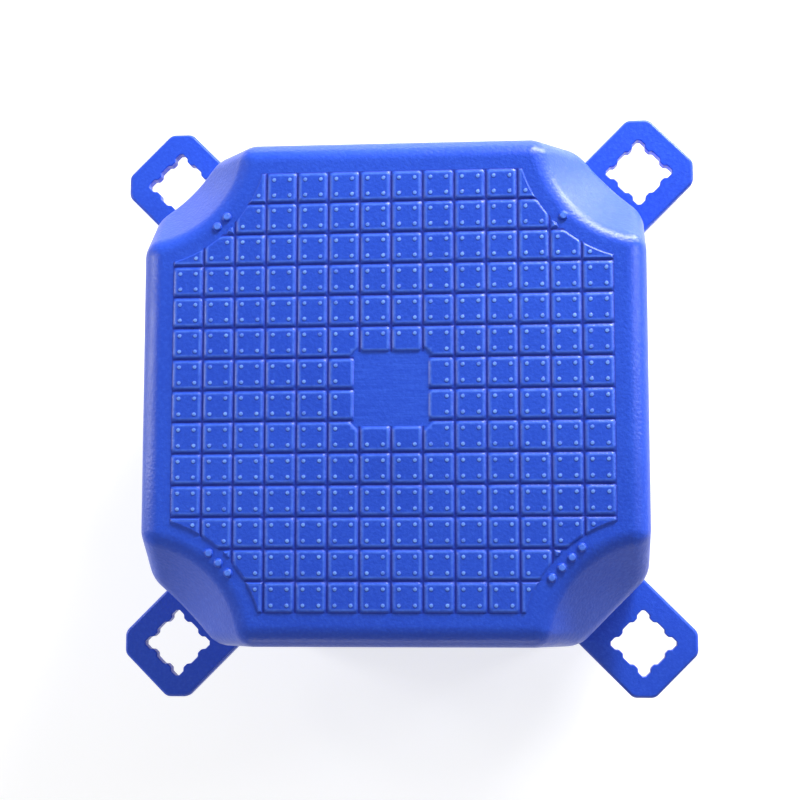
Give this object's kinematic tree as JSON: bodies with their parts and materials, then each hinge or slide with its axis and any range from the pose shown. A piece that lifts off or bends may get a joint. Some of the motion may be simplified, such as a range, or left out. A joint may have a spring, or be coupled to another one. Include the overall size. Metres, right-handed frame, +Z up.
{
  "type": "floating dock cube",
  "caption": "Hollow square float with bevelled corners, a tiled anti-slip deck, conical pin seats and staggered lugs with keyed holes.",
  "frame": {"origin": "under the middle of the cube, on the plane that it rests on", "axes": "+Z up out of the tiled deck; +X and +Y square to two neighbouring sides, so that the corner with one raised mark and the highest lug is at +X +Y; the vent bung faces -Y"},
  "size_m": [0.6146, 0.6146, 0.4],
  "materials": {
    "float_plastic": "satin royal-blue polyethylene with a fine orange-peel skin",
    "bung_plastic": "satin black moulded plastic",
    "seal_rubber": "dull black rubber"
  },
  "bodies": {
    "root": {"float_body": "float_plastic", "vent_bung": "bung_plastic", "bung_seal": "seal_rubber"}
  },
  "joints": []
}
